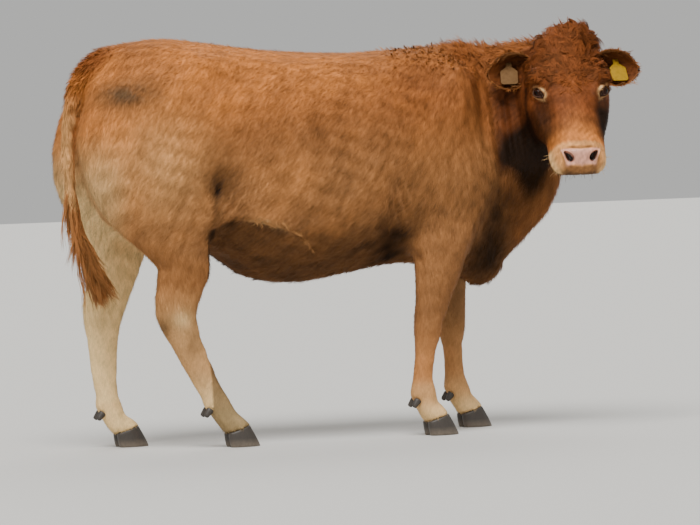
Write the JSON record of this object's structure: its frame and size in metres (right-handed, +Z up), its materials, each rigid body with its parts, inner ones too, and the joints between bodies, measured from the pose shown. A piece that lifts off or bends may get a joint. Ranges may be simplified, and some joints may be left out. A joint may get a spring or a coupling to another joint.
{
  "type": "standing beef cow",
  "caption": "Life-size still model of a chestnut beef cow standing on all four feet and looking back over its right side, with a short coat and an ear tag in each ear.",
  "frame": {"origin": "Middle of the bounding box at floor level.", "axes": "+X is the way the trunk faces, +Y is the animal's left, and +Z is up."},
  "size_m": [2.0906, 0.8876, 1.4757],
  "materials": {
    "hide": "hide under a short chestnut coat, paler on the legs and round the muzzle",
    "horn": "dark grey horn of claws and dewclaws, satin",
    "eye": "wet dark brown eyeball",
    "tag": "bare yellow moulded plastic"
  },
  "bodies": {
    "root": {"ear_left": "hide", "ear_right": "hide", "ear_tag_left": "tag", "ear_tag_right": "tag", "eye_left": "eye", "eye_right": "eye", "fore_left_arm": "hide", "fore_left_claw_left": "horn", "fore_left_claw_right": "horn", "fore_left_dewclaw_left": "horn", "fore_left_dewclaw_right": "horn", "fore_left_foot": "hide", "fore_left_shin": "hide", "fore_right_arm": "hide", "fore_right_claw_left": "horn", "fore_right_claw_right": "horn", "fore_right_dewclaw_left": "horn", "fore_right_dewclaw_right": "horn", "fore_right_foot": "hide", "fore_right_shin": "hide", "head": "hide", "hind_left_claw_left": "horn", "hind_left_claw_right": "horn", "hind_left_dewclaw_left": "horn", "hind_left_dewclaw_right": "horn", "hind_left_foot": "hide", "hind_left_shank": "hide", "hind_left_thigh": "hide", "hind_right_claw_left": "horn", "hind_right_claw_right": "horn", "hind_right_dewclaw_left": "horn", "hind_right_dewclaw_right": "horn", "hind_right_foot": "hide", "hind_right_shank": "hide", "hind_right_thigh": "hide", "neck": "hide", "tail": "hide", "tail_switch": "hide", "trunk": "hide"}
  },
  "joints": []
}
